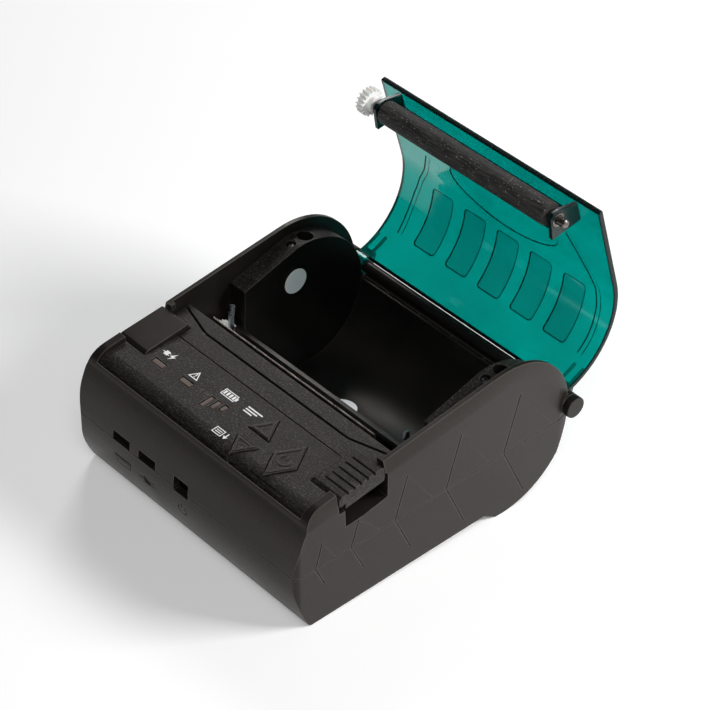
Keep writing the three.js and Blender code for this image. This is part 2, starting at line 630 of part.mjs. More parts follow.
// The carrier inside the lid's front edge: a wall behind the platen with an ear for each of its ends.
function rollerCarrier() {
  const line = (y) => DRUM.z + (LID.r - LID.t) * Math.hypot(1, TOP_SLOPE) + TOP_SLOPE * (y - DRUM.y) - 0.3;
  const wall = { y0: 55.7, y1: 57.1, low: 38.6 };
  const ends = [[-41.5, -39.9], [40.4, 42]];
  const rib = alongX(polygon([
    [wall.y0, wall.low], [wall.y1, wall.low], [wall.y1, line(wall.y1)], [wall.y0, line(wall.y0)],
  ]), ends[0][0], ends[1][1]);
  const front = PLATEN.y - 1;
  const ears = ends.map(([x0, x1]) => alongX(polygon([
    [front, line(front)], [PLATEN.y - 3.2, PLATEN.z + 1.4], [PLATEN.y - 3.2, PLATEN.z - 1.6],
    [PLATEN.y - 1.8, PLATEN.z - 3.2], [wall.y1, PLATEN.z - 3.2], [wall.y1, line(wall.y1)],
  ]), x0, x1));
  return cut(join(rib, ...ears), rodX(PLATEN.y, PLATEN.z, 2.65, -60, 60, 28));
}

const platenRubber = () => cut(rodX(PLATEN.y, PLATEN.z, PLATEN.r, -PLATEN.half, PLATEN.half, 32),
  rodX(PLATEN.y, PLATEN.z, PLATEN.shaft + 0.02, -60, 60, 16));
const platenShaft = () => rodX(PLATEN.y, PLATEN.z, PLATEN.shaft - 0.05, -48.9, 45.6, 16);
const platenGear = () => join(
  spurGear(PLATEN_TEETH, 3.2, PLATEN.shaft + 0.02, -48.4, PLATEN.y, PLATEN.z, PLATEN_PHASE),
  cut(rodX(PLATEN.y, PLATEN.z, 2.9, -45.4, -43.2, 20),
    rodX(PLATEN.y, PLATEN.z, PLATEN.shaft + 0.02, -60, 60, 16)));

// A bush in one of the carrier's ears, with a thin flange outside the left one.
function bearing(x0, x1, flange = 0) {
  const bush = rodX(PLATEN.y, PLATEN.z, 2.6, x0, x1, 24);
  const whole = flange > 0 ? join(bush, rodX(PLATEN.y, PLATEN.z, 3, x0, x0 + flange, 24)) : bush;
  return cut(whole, rodX(PLATEN.y, PLATEN.z, PLATEN.shaft + 0.1, -60, 60, 16));
}

function hingeRod() {
  const caps = [[-57, -54.7], [54.7, 57]].map(([x0, x1]) => rodX(HINGE.y, HINGE.z, HINGE.cap, x0, x1, 28));
  return join(rodX(HINGE.y, HINGE.z, HINGE.rod, -55, 55), ...caps);
}

// A round label on the floor of the bay, curved to fit it.
function floorSticker() {
  const skin = cut(rodX(DRUM.y, DRUM.z, BAY_RADIUS - 0.05, -30, 0, 96),
    rodX(DRUM.y, DRUM.z, BAY_RADIUS - 0.2, -31, 1, 96));
  return skin.intersect(rodZ(-15.3, 79.4, STICKER_RADIUS, -2, 8, 28));
}

function disc(radius, thickness) {
  return solidOf(new THREE.CylinderGeometry(radius, radius, thickness, 28));
}

// ---- assembly ----
const printer = new THREE.Group();
const stand = new THREE.Group();
const deck = new THREE.Group();
deck.position.set(0, 0, DECK_Z);
deck.rotation.x = Math.atan(DECK_SLOPE);
const openLid = new THREE.Group();
openLid.position.set(0, HINGE.y, HINGE.z);
openLid.rotation.x = -OPEN_ANGLE;
const closedLid = new THREE.Group();
closedLid.position.set(0, -HINGE.y, -HINGE.z);
openLid.add(closedLid);
stand.add(deck, openLid);
stand.rotation.x = STAND_ANGLE;
printer.add(stand);

function place(parent, name, solid, finish) {
  const mesh = new THREE.Mesh(geometryOf(solid), new THREE.MeshStandardMaterial(FINISH[finish]));
  mesh.name = name;
  parent.add(mesh);
  return mesh;
}

place(stand, 'lower_case', lowerCase(), 'satinBlack');
place(stand, 'upper_case', upperCase(), 'satinBlack');
SCREW_PLACES.forEach((at, i) => place(stand, `case_screw_${i + 1}`, caseScrew(at), 'steel'));
place(deck, 'front_deck', frontDeck(), 'grainBlack');
place(deck, 'rear_deck', rearDeck(), 'grainBlack');
place(stand, 'side_pad', sidePad(), 'satinBlack');
Object.entries(KEYS).forEach(([name, points]) => place(deck, name, keyCap(points), 'grainBlack'));
Object.entries(LAMPS).forEach(([name, lamp]) => place(deck, name, lampBox(lamp, 0, -2.2, -0.15), 'amber'));
place(stand, 'release_lever', releaseLever(), 'grainBlack');
place(stand, 'latch_shaft', rodX(LATCH.y, LATCH.z, LATCH.r, -43.6, 43.6, 16), 'steel');
place(stand, 'latch_hook_left', latchHook(-43.1, -42.1), 'steel');
place(stand, 'latch_hook_right', latchHook(42.3, 43.3), 'steel');
place(deck, 'head_cover', headCover(), 'grainBlack');
place(stand, 'tear_bar', tearBar(), 'darkSteel');
place(stand, 'print_head', printHead(), 'paper');
place(stand, 'heat_sink', heatSink(), 'aluminium');
place(stand, 'head_frame', headFrame(), 'steel');
place(stand, 'head_spring_left', headSpring(-24), 'steel');
place(stand, 'head_spring_right', headSpring(24), 'steel');
place(stand, 'bay_tray', bayTray(), 'bayBlack');
[['left', -1], ['right', 1]].forEach(([name, side]) => {
  place(stand, `${name}_cheek`, cheek(side), 'bayBlack');
  place(stand, `${name}_cheek_screw`, slottedScrew(CHEEK_SCREW, side, 49.8, 51.6, 0.6), 'darkSteel');
  place(stand, `${name}_well_screw`, slottedScrew(WELL_SCREW, side, 42.3, 44.2, 0.8), 'darkSteel');
});
place(stand, 'circuit_board', circuitBoard(), 'board');
Object.entries(SOCKETS).forEach(([name, socket]) => place(stand, name, socketShell(socket), 'darkSteel'));
place(stand, 'power_jack', powerJack(), 'bayBlack');
place(stand, 'battery_pack', batteryPack(), 'battery');
place(stand, 'feed_motor', feedMotor(), 'darkSteel');
place(stand, 'motor_pinion', motorPinion(), 'nylon');
place(stand, 'idler_gear', idlerGear(), 'nylon');
place(stand, 'idler_axle', idlerAxle(), 'steel');
place(stand, 'hinge_rod', hingeRod(), 'bayBlack');
place(closedLid, 'lid', lid(), 'teal');
place(closedLid, 'roller_carrier', rollerCarrier(), 'bayBlack');
place(closedLid, 'platen_roller', platenRubber(), 'rubber');
place(closedLid, 'platen_shaft', platenShaft(), 'steel');
place(closedLid, 'platen_gear', platenGear(), 'nylon');
place(closedLid, 'bearing_left', bearing(-42, -39.9, 0.3), 'nylon');
place(closedLid, 'bearing_right', bearing(40.4, 42.2), 'steel');

place(stand, 'floor_sticker', floorSticker(), 'paper');

const leftSticker = place(stand, 'left_sticker', disc(STICKER_RADIUS, 0.15), 'paper');
leftSticker.rotation.z = Math.PI / 2;
leftSticker.position.set(-CHEEK_INNER + 0.45, 82.6, 38.6);

// Centre the finished printer on its footprint and stand it on z = 0.
printer.updateMatrixWorld(true);
const bounds = new THREE.Box3().setFromObject(printer, true);
const centre = bounds.getCenter(new THREE.Vector3());
stand.position.set(-centre.x, -centre.y, -bounds.min.z);

export default printer;
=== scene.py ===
"""Looks of the receipt printer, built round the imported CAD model.

Shapes are in millimetres in the design frame: x = 0 is the middle of the printer, y = 0 lies near the
port face and z = 0 is the flat underside. TO_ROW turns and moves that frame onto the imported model. The
materials' grain, the floor and the lights are in metres.
"""

import math

import bmesh
import bpy
from mathutils import Matrix, Vector
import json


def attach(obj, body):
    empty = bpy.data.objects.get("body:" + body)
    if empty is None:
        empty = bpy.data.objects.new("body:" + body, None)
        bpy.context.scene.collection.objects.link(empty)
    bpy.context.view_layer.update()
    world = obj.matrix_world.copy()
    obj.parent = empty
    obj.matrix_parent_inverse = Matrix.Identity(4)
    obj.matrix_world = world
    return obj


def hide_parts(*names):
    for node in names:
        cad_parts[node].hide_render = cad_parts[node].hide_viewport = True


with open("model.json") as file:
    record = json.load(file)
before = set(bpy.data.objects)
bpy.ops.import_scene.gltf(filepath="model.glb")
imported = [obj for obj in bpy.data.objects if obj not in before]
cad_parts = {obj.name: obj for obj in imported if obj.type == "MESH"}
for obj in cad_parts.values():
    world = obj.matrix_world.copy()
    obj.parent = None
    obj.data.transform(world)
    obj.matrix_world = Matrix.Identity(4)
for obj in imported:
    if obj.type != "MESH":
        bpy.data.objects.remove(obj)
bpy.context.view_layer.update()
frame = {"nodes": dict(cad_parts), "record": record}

# ---- frames ----
MM = 0.001
STAND_ANGLE = math.atan2(3.7, 87.5)
STAND_PLACE = Matrix.Translation((0, -0.0670199, 0.0000259))
TO_ROW = STAND_PLACE @ Matrix.Rotation(STAND_ANGLE, 4, "X") @ Matrix.Scale(MM, 4)
DECK_SLOPE = 0.045
DECK_FRONT = 44.3
TO_DECK = TO_ROW @ Matrix.Translation((0, 0, DECK_FRONT)) @ Matrix.Rotation(math.atan(DECK_SLOPE), 4, "X")
HINGE = Vector((0, 117, 26.4))
OPEN_ANGLE = math.radians(81)
TO_LID = (
    TO_ROW @ Matrix.Translation(HINGE) @ Matrix.Rotation(-OPEN_ANGLE, 4, "X") @ Matrix.Translation(-HINGE)
)
DRUM = Vector((0, 87.5, 26))
PLATEN = Vector((0, 50.4, 38.9))

# ---- materials ----


def new_material(name, **settings):
    """A material with a Principled shader whose sockets are set directly."""
    material = bpy.data.materials.new(name)
    material.use_nodes = True
    shader = material.node_tree.nodes["Principled BSDF"]
    for socket, value in settings.items():
        shader.inputs[socket.replace("_", " ")].default_value = value
    return material, shader


def add_node(material, kind, **values):
    node = material.node_tree.nodes.new(kind)
    for key, value in values.items():
        if key in node.inputs:
            node.inputs[key].default_value = value
        else:
            setattr(node, key, value)
    return node


def link(material, source, target):
    material.node_tree.links.new(source, target)


def noise(material, scale, detail=3.0, stretch=(1, 1, 1)):
    """Noise in object coordinates, scale in cycles per metre, squeezed along each axis by stretch."""
    place = add_node(material, "ShaderNodeTexCoord")
    mapping = add_node(material, "ShaderNodeMapping")
    mapping.inputs["Scale"].default_value = stretch
    link(material, place.outputs["Object"], mapping.inputs["Vector"])
    texture = add_node(material, "ShaderNodeTexNoise", Scale=scale, Detail=detail)
    link(material, mapping.outputs["Vector"], texture.inputs["Vector"])
    return texture.outputs["Fac"]


def ramp(material, source, low, high, start, end):
    """source from low to high becomes a value from start to end."""
    node = add_node(material, "ShaderNodeMapRange")
    node.inputs["From Min"].default_value = low
    node.inputs["From Max"].default_value = high
    node.inputs["To Min"].default_value = start
    node.inputs["To Max"].default_value = end
    link(material, source, node.inputs["Value"])
    return node.outputs["Result"]


def mix(material, factor, first, second):
    """Colour mix; first and second are colours or sockets."""
    node = add_node(material, "ShaderNodeMix", data_type="RGBA")
    link(material, factor, node.inputs["Factor"])
    for value, socket in ((first, node.inputs["A"]), (second, node.inputs["B"])):
        sockets = [s for s in node.inputs if s.name == socket.name and s.type == "RGBA"]
        if isinstance(value, tuple):
            sockets[0].default_value = (*value, 1)
        else:
            link(material, value, sockets[0])
    return [s for s in node.outputs if s.type == "RGBA"][0]


def bump(material, shader, height, distance, chained=None):
    node = add_node(material, "ShaderNodeBump", Distance=distance, Strength=1.0)
    link(material, height, node.inputs["Height"])
    if chained is not None:
        link(material, chained, node.inputs["Normal"])
    link(material, node.outputs["Normal"], shader.inputs["Normal"])
    return node.outputs["Normal"]


def edge_mask(material, radius):
    """About 1 on sharp convex or concave edges and 0 on flat faces."""
    rounded = add_node(material, "ShaderNodeBevel", samples=4, Radius=radius)
    plain = add_node(material, "ShaderNodeNewGeometry")
    dot = add_node(material, "ShaderNodeVectorMath", operation="DOT_PRODUCT")
    link(material, rounded.outputs["Normal"], dot.inputs[0])
    link(material, plain.outputs["Normal"], dot.inputs[1])
    return ramp(material, dot.outputs["Value"], 0.99, 0.80, 0.0, 1.0)


WARM = (1.0, 0.90, 0.83, 1.0)


def moulded_plastic(name, dark, light, rough, grain, painted_glints, edge_wear_and_highlight):
    """Moulded plastic with slow drift, a grain, and lighter sharp edges that are partly rubbed wear and
    partly painted highlight.

    grain is (scale, depth, roughness spread); the fleck pair is (share, colour) of lighter flecks, painted
    glints of light off the grain; the last colour, for the lighter edges, is partly rubbed wear and partly
    painted highlight.
    """
    scale, depth, spread = grain
    glint_share, glint_colour = painted_glints
    material, shader = new_material(name, Roughness=rough, Specular_IOR_Level=0.29, Specular_Tint=WARM)
    cloud = noise(material, 60, 4)
    fine = noise(material, scale, 2)
    coarse = noise(material, scale * 0.55, 1)
    base = mix(material, ramp(material, cloud, 0.35, 0.65, 0, 1), dark, light)
    # lighter flecks: painted glints of light off the grain
    glint_flecked = mix(material, ramp(material, coarse, 0.52, 0.72, 0, glint_share), base, glint_colour)
    # lighter sharp edges: partly rubbed wear, partly painted highlight
    worn_and_highlit = mix(material, ramp(material, edge_mask(material, 0.0005), 0, 1, 0, 0.7), glint_flecked, edge_wear_and_highlight)
    link(material, worn_and_highlit, shader.inputs["Base Color"])
    drift = ramp(material, cloud, 0.3, 0.7, rough - 0.04, rough + 0.05)
    total = add_node(material, "ShaderNodeMath", operation="ADD")
    link(material, drift, total.inputs[0])
    link(material, ramp(material, fine, 0.3, 0.7, -spread, spread), total.inputs[1])
    link(material, total.outputs[0], shader.inputs["Roughness"])
    bump(material, shader, fine, depth)
    return material


# the last two arguments: the painted glint flecks, and the edge colour that is partly rubbed wear and partly
# painted highlight
case_black = moulded_plastic("case_black", (0.0085, 0.0072, 0.0064), (0.013, 0.011, 0.0098), 0.36,
                             (3000, 0.000018, 0.05), (0.35, (0.030, 0.026, 0.023)), (0.15, 0.13, 0.115))
deck_grain = moulded_plastic("deck_grain", (0.0055, 0.0053, 0.0053), (0.009, 0.0085, 0.0083), 0.42,
                             (3000, 0.00016, 0.18), (0.9, (0.060, 0.054, 0.050)), (0.12, 0.105, 0.095))
bay_black = moulded_plastic("bay_black", (0.0035, 0.0034, 0.0034), (0.0065, 0.0062, 0.006), 0.40,
                            (2600, 0.000014, 0.04), (0.25, (0.016, 0.014, 0.0125)), (0.07, 0.062, 0.055))


def teal_plastic(name, colour, rough, clear, shine=0.5):
    """Tinted plastic; clear is the share of light that passes through, the rest is a milky body."""
    material, shader = new_material(name, Roughness=rough, IOR=1.5, Transmission_Weight=clear,
                                    Specular_IOR_Level=shine)
    cloud = noise(material, 45, 4)
    swirl = noise(material, 900, 2, (1, 0.25, 0.25))
    shade = tuple(c * 0.80 for c in colour)
    tone = mix(material, ramp(material, cloud, 0.3, 0.7, 0, 1), colour, shade)
    link(material, tone, shader.inputs["Base Color"])
    link(material, ramp(material, swirl, 0.3, 0.7, rough - 0.02, rough + 0.05), shader.inputs["Roughness"])
    bump(material, shader, swirl, 0.000004)
    return material


lid_teal = teal_plastic("lid_teal", (0.0, 0.42, 0.36), 0.07, 0.78)
lid_window = teal_plastic("lid_window", (0.0, 0.27, 0.235), 0.12, 0.72)
lid_edge = teal_plastic("lid_edge", (0.001, 0.008, 0.0075), 0.25, 0.04, 0.2)
carrier_teal = teal_plastic("carrier_teal", (0.001, 0.020, 0.020), 0.24, 0.3, 0.3)


def rubber():
    """Ground rubber with fine lines along the roller and specks of pale dust."""
    material, shader = new_material("platen_rubber", Roughness=0.72)
    streak = noise(material, 1900, 2, (0.11, 1, 1))
    fine = noise(material, 3600, 2)
    speck = noise(material, 1900, 0)
    grooves = ramp(material, streak, 0.42, 0.62, 0, 1)
    base = mix(material, grooves, (0.005, 0.0048, 0.0046), (0.040, 0.037, 0.035))
    dusty = mix(material, ramp(material, speck, 0.755, 0.79, 0, 0.7), base, (0.34, 0.34, 0.33))
    link(material, dusty, shader.inputs["Base Color"])
    link(material, ramp(material, streak, 0.3, 0.7, 0.60, 0.85), shader.inputs["Roughness"])
    first = bump(material, shader, streak, 0.00014)
    bump(material, shader, fine, 0.00003, first)
    return material


def nylon():
    material, shader = new_material("gear_nylon", Roughness=0.42, Subsurface_Weight=0.15,
                                    Subsurface_Scale=0.001)
    cloud = noise(material, 500, 3)
    tone = mix(material, cloud, (0.80, 0.80, 0.78), (0.92, 0.92, 0.90))
    link(material, tone, shader.inputs["Base Color"])
    link(material, ramp(material, cloud, 0.3, 0.7, 0.36, 0.5), shader.inputs["Roughness"])
    bump(material, shader, noise(material, 3000, 2), 0.000008)
    return material


def metal(name, dark, light, rough, stretch, depth=0.000006):
    """Plated or brushed metal with fine lines along one axis."""
    material, shader = new_material(name, Metallic=1.0, Roughness=rough)
    lines = noise(material, 1500, 4, stretch)
    blotch = noise(material, 260, 3)
    tone = mix(material, ramp(material, blotch, 0.35, 0.65, 0, 1), dark, light)
    link(material, tone, shader.inputs["Base Color"])
    link(material, ramp(material, lines, 0.3, 0.7, rough - 0.1, rough + 0.14), shader.inputs["Roughness"])
    bump(material, shader, lines, depth)
    return material


platen_rubber = rubber()
gear_nylon = nylon()
bright_steel = metal("bright_steel", (0.42, 0.45, 0.49), (0.58, 0.61, 0.64), 0.30, (0.1, 1, 1))
dark_steel = metal("dark_steel", (0.10, 0.10, 0.105), (0.20, 0.195, 0.19), 0.38, (0.2, 1, 1))
tear_steel = metal("tear_steel", (0.22, 0.20, 0.18), (0.40, 0.36, 0.32), 0.34, (1, 1, 0.1))
axle_steel = metal("axle_steel", (0.09, 0.083, 0.078), (0.22, 0.20, 0.185), 0.30, (0.1, 1, 1))
sink_alloy = metal("sink_alloy", (0.55, 0.55, 0.56), (0.66, 0.66, 0.67), 0.36, (0.1, 1, 1))


def tinted_window():
    material, shader = new_material("window_amber", Roughness=0.4)
    cloud = noise(material, 900, 2)
    tone = mix(material, cloud, (0.050, 0.026, 0.017), (0.085, 0.048, 0.032))
    link(material, tone, shader.inputs["Base Color"])
    link(material, ramp(material, cloud, 0.3, 0.7, 0.34, 0.5), shader.inputs["Roughness"])
    bump(material, shader, noise(material, 2400, 1), 0.00001)
    return material


def paper(name, colour, rough):
    material, shader = new_material(name, Roughness=rough)
    fibre = noise(material, 2400, 4)
    darker = tuple(c * 0.9 for c in colour)
    link(material, mix(material, fibre, colour, darker), shader.inputs["Base Color"])
    link(material, ramp(material, fibre, 0.3, 0.7, rough - 0.08, rough + 0.1), shader.inputs["Roughness"])
    bump(material, shader, fibre, 0.00001)
    return material


window_amber = tinted_window()
label_white = paper("label_white", (0.95, 0.95, 0.97), 0.5)
print_white = paper("print_white", (0.90, 0.90, 0.90), 0.6)
battery_wrap = paper("battery_wrap", (0.03, 0.06, 0.16), 0.35)
board_green = paper("board_green", (0.012, 0.075, 0.032), 0.4)

LOOKS = {
    "case_black": case_black,
    "deck_grain": deck_grain,
    "bay_black": bay_black,
    "lid_teal": lid_teal,
    "platen_rubber": platen_rubber,
    "gear_nylon": gear_nylon,
    "bright_steel": bright_steel,
    "dark_steel": dark_steel,
    "sink_alloy": sink_alloy,
    "window_amber": window_amber,
    "board_green": board_green,
    "battery_wrap": battery_wrap,
    "label_white": label_white,
}
SLOT_OF = {part["node"]: part["material_slot"] for part in frame["record"]["subparts"]}
BODY_OF = {
    node: body for body, nodes in frame["record"]["behaviour"]["bodies"].items() for node in nodes
}

# ---- mesh tools ----


def bevel(bm, width, segments=2, angle=30):
    """Rounds the edges sharper than angle."""
    limit = math.radians(angle)
    edges = [e for e in bm.edges if len(e.link_faces) == 2 and e.calc_face_angle(0) > limit]
    bmesh.ops.bevel(bm, geom=edges, offset=width, segments=segments, profile=0.5, affect="EDGES",
                    clamp_overlap=True)


def prism(bm, points, low, high, axis="X"):
    """A closed prism of the 2-D points; they are (y, z) for axis X and (x, y) for Z."""
    place = {
        "X": lambda a, b, c: (c, a, b),
        "Z": lambda a, b, c: (a, b, c),
    }[axis]
    ends = [[bm.verts.new(place(a, b, c)) for a, b in points] for c in (low, high)]
    faces = [bm.faces.new(ends[0]), bm.faces.new(ends[1])]
    count = len(points)
    for i in range(count):
        j = (i + 1) % count
        faces.append(bm.faces.new((ends[0][i], ends[0][j], ends[1][j], ends[1][i])))
    bmesh.ops.recalc_face_normals(bm, faces=faces)


def lathe(bm, profile, centre, sides=48):
    """Turns (x, radius) points about the axis along X through centre's y and z."""
    rings = []
    for x, radius in profile:
        ring = []
        for k in range(sides):
            a = 2 * math.pi * k / sides
            y, z = centre[1] + radius * math.cos(a), centre[2] + radius * math.sin(a)
            ring.append(bm.verts.new((x, y, z)))
        rings.append(ring)
    for first, second in zip(rings, rings[1:]):
        for k in range(sides):
            m = (k + 1) % sides
            bm.faces.new((first[k], first[m], second[m], second[k]))
    return rings


def arc(cx, cy, r, start, end, count):
    """Points on a circle, angles in degrees."""
    steps = [math.radians(start + (end - start) * i / count) for i in range(count + 1)]
    return [(cx + r * math.cos(a), cy + r * math.sin(a)) for a in steps]


def rounded(points, r, steps=4):
    """The convex or concave polygon with each corner cut back by r and rounded."""
    out = []
    count = len(points)
    for i in range(count):
        p = Vector(points[i])
        before = Vector(points[i - 1]) - p
        after = Vector(points[(i + 1) % count]) - p
        radius = min(r, before.length * 0.45, after.length * 0.45)
        a = p + before.normalized() * radius
        b = p + after.normalized() * radius
        for k in range(steps + 1):
            t = k / steps
            q = a * (1 - t) ** 2 + p * 2 * t * (1 - t) + b * t**2
            out.append((q.x, q.y))
    return out


def strip(points, width):
    """A polygon of that width round an open polyline."""
    pts = [Vector(p) for p in points]
    left, right = [], []
    for i, p in enumerate(pts):
        first = (p - pts[i - 1]).normalized() if i else (pts[1] - p).normalized()
        second = (pts[i + 1] - p).normalized() if i + 1 < len(pts) else first
        along = (first + second).normalized()
        side = Vector((-along.y, along.x))
        reach = width / 2 / max(0.3, side.dot(Vector((-first.y, first.x))))
        left.append(tuple(p + side * reach))
        right.append(tuple(p - side * reach))
    return left + right[::-1]


def moved_in(points, d):
    """A convex outline moved inwards by d."""
    centre = sum((Vector(p) for p in points), Vector((0, 0))) / len(points)
    out = []
    for i, p in enumerate(points):
        a, b, c = Vector(points[i - 1]), Vector(p), Vector(points[(i + 1) % len(points)])
        first, second = (b - a).normalized(), (c - b).normalized()
        n0, n1 = Vector((first.y, -first.x)), Vector((second.y, -second.x))
        if n0.dot(centre - b) < 0:
            n0, n1 = -n0, -n1
        out.append(tuple(b + (n0 + n1) * (d / (1 + n0.dot(n1)))))
    return out


def hoop(bm, points, inside, width, low, high):
    """A closed border that starts inside the outline by that much, standing along Z."""
    outer, inner = moved_in(points, inside), moved_in(points, inside + width)
    rings = [[bm.verts.new((x, y, z)) for x, y in path]
             for path, z in ((outer, low), (outer, high), (inner, high), (inner, low))]
    for k, current in enumerate(rings):
        after = rings[(k + 1) % 4]
        for i in range(len(points)):
            j = (i + 1) % len(points)
            bm.faces.new((current[i], current[j], after[j], after[i]))


def mesh_object(name, bm, matrix=None, smooth=32):
    if matrix is not None:
        bmesh.ops.transform(bm, matrix=matrix, verts=bm.verts)
    bmesh.ops.recalc_face_normals(bm, faces=bm.faces)
    mesh = bpy.data.meshes.new(name)
    bm.to_mesh(mesh)
    bm.free()
    for face in mesh.polygons:
        face.use_smooth = True
    mesh.set_sharp_from_angle(angle=math.radians(smooth))
    thing = bpy.data.objects.new(name, mesh)
    bpy.context.scene.collection.objects.link(thing)
    return thing


def carve(thing, bm, matrix=TO_ROW):
    """Takes the closed shapes in bm out of thing, for good."""
    cutter = mesh_object("cutter", bm, matrix)
    modifier = thing.modifiers.new("carve", "BOOLEAN")
    modifier.operation = "DIFFERENCE"
    modifier.solver = "EXACT"
    modifier.object = cutter
    bpy.context.view_layer.update()
    graph = bpy.context.evaluated_depsgraph_get()
    made = bpy.data.meshes.new_from_object(thing.evaluated_get(graph))
    if len(made.polygons) < 0.9 * len(thing.data.polygons):
        raise RuntimeError(f"carving {thing.name} lost most of it")
    thing.modifiers.clear()
    thing.data = made
    bpy.data.objects.remove(cutter)
    for face in made.polygons:
        face.use_smooth = True
    made.set_sharp_from_angle(angle=math.radians(32))


def even_shading(thing):
    """Large flat faces keep their own normals, so rounded edges don't shade across them."""
    weighted = thing.modifiers.new("even", "WEIGHTED_NORMAL")
    weighted.keep_sharp = True
    weighted.weight = 90


def piece(thing, material, body, slot, *nodes):
    """Gives the piece its finish and its body, and hides the CAD nodes that it stands for."""
    even_shading(thing)
    if not thing.data.materials:
        thing.data.materials.append(material)
    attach(thing, body)
    if nodes:
        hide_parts(*nodes)
    return thing


def refined(node, width):
    """A copy of a CAD node's solid with welded points, whole flat faces and rounded edges."""
    bm = bmesh.new()
    bm.from_mesh(frame["nodes"][node].data)
    bmesh.ops.remove_doubles(bm, verts=bm.verts, dist=2e-6)
    bmesh.ops.dissolve_limit(bm, angle_limit=math.radians(0.6), verts=bm.verts, edges=bm.edges)
    if width:
        bevel(bm, width * MM)
    return mesh_object(node + ".skin", bm)


def keep_shape(node, width, material=None):
    slot = SLOT_OF[node]
    return piece(refined(node, width), material or LOOKS[slot], BODY_OF[node], slot, node)


# ---- case shells ----
HALF_WIDTH = 54.5
# each mark on the side faces: top end, corner on the parting line, bottom end, as (y, z)
MARKS = [
    ((7.8, 32.3), (5.1, 22.9), (8.8, 14.6)),
    ((23.1, 32.7), (19.9, 22.9), (25.3, 11.2)),
    ((43.5, 38.9), (38.5, 22.9), (45.4, 7.7)),
    ((66.7, 42.2), (60.7, 22.9), (69.2, 4.1)),
    ((93.0, 44.6), (86.4, 22.9), (96.3, 1.5)),
]
HAIRLINE_FEET = [13.6, 32.5, 55.0, 80.0, 109.0]
PARTING_Z = 22.6


def side_cutters(outlines, depth):
    """Thin cutters sunk depth into both side faces."""
    bm = bmesh.new()
    for side in (-1, 1):
        faces = sorted((side * (HALF_WIDTH - depth), side * (HALF_WIDTH + 2)))
        for outline in outlines:
            prism(bm, outline, *faces)
    return bm


def front_frame():
    """The plane of the front face just below the sockets: x across, y up the face, z outwards."""
    up = Vector((0, -0.155, 1)).normalized()
    out = Vector((0, -1, -0.155)).normalized()
    turn = Matrix((Vector((1, 0, 0)), up, out)).transposed().to_4x4()
    return TO_ROW @ Matrix.Translation((0, -2.62, 14.8)) @ turn


def ring(cx, cy, r, width, start, end, count=20):
    """Part of a ring as one outline, angles in degrees."""
    return arc(cx, cy, r + width / 2, start, end, count) + arc(cx, cy, r - width / 2, end, start, count)


def bar(x0, y0, x1, y1):
    return [(x0, y0), (x1, y0), (x1, y1), (x0, y1)]


def frame_bars(x0, y0, x1, y1, w):
    """The four sides of a rectangle as separate bars."""
    return [bar(x0, y0, x1, y0 + w), bar(x0, y1 - w, x1, y1), bar(x0, y0 + w, x0 + w, y1 - w),
            bar(x1 - w, y0 + w, x1, y1 - w)]


def port_signs():
    """Cutters for the generic signs under the sockets: a pin socket, a plug, and the power symbol."""
    low, high = -0.4, 1.2
    serial = bmesh.new()
    hoop(serial, [(-35.8, 2.0), (-34.6, -2.0), (-28.2, -2.0), (-27.0, 2.0)], 0, 0.5, low, high)
    for i in range(5):
        prism(serial, bar(-34.0 + i * 1.2, 0.2, -33.4 + i * 1.2, 0.8), low, high, "Z")
    plug = bmesh.new()
    body, lead = bar(-20.8, -1.5, -17.4, 1.5), bar(-23.6, -0.28, -21.0, 0.28)
    pins = [bar(-17.2, 0.5, -15.2, 1.0), bar(-17.2, -1.0, -15.2, -0.5)]
    for outline in (body, lead, *pins):
        prism(plug, outline, low, high, "Z")
    power = bmesh.new()
    prism(power, ring(-1.2, -0.4, 1.9, 0.5, 125, 415), low, high, "Z")
    prism(power, bar(-1.45, 0.4, -0.95, 2.6), low, high, "Z")
    return serial, plug, power


upper = refined("upper_case", 0.3)
lower = refined("lower_case", 0.3)
for shell in (upper, lower):
    carve(shell, side_cutters([strip(mark, 0.55) for mark in MARKS], 0.35))
    lines = [strip([(mark[0][0] + 0.5, mark[0][1] - 0.4), (foot, PARTING_Z)], 0.16)
             for mark, foot in zip(MARKS, HAIRLINE_FEET)]
    carve(shell, side_cutters(lines, 0.12))
for signs in port_signs():
    carve(lower, signs, front_frame())
piece(upper, case_black, "base", "case_black", "upper_case")
piece(lower, case_black, "base", "case_black", "lower_case")

# ---- everything that keeps its CAD shape ----
EDGES = {
    "front_deck": 0.25, "rear_deck": 0.25, "side_pad": 0.3, "mode_button": 0.3, "feed_button": 0.3,
    "power_button": 0.3, "release_lever": 0.25, "head_cover": 0.2, "latch_hook_left": 0.25,
    "latch_hook_right": 0.25, "left_cheek": 0.4, "right_cheek": 0.4, "hinge_rod": 0.4, "bay_tray": 0.2,
    "roller_carrier": 0.2, "floor_sticker": 0, "bearing_left": 0.15, "bearing_right": 0.15,
    "platen_gear": 0.1, "charge_window": 0.15, "error_window": 0.15, "level_window_1": 0.15,
    "level_window_2": 0.15, "level_window_3": 0.15, "case_screw_1": 0.15, "case_screw_2": 0.15,
    "case_screw_3": 0.15, "case_screw_4": 0.15, "latch_shaft": 0.2, "print_head": 0.15,
    "heat_sink": 0.3, "head_frame": 0.2, "circuit_board": 0.15, "data_socket": 0.08, "usb_socket": 0.08,
    "power_jack": 0.12, "battery_pack": 1.2, "feed_motor": 0.3, "motor_pinion": 0.08, "idler_gear": 0.08,
    "idler_axle": 0.15,
}
FINISH_OF = {"roller_carrier": carrier_teal, "bearing_left": axle_steel, "bearing_right": axle_steel}
for node, width in EDGES.items():
    kept = keep_shape(node, width, material=FINISH_OF.get(node))
    if node.endswith("_cheek"):
        # the tops of the cheeks have the deck's grain
        kept.data.materials.append(deck_grain)
        for face in kept.data.polygons:
            face.material_index = 1 if face.normal.z > 0.6 else 0

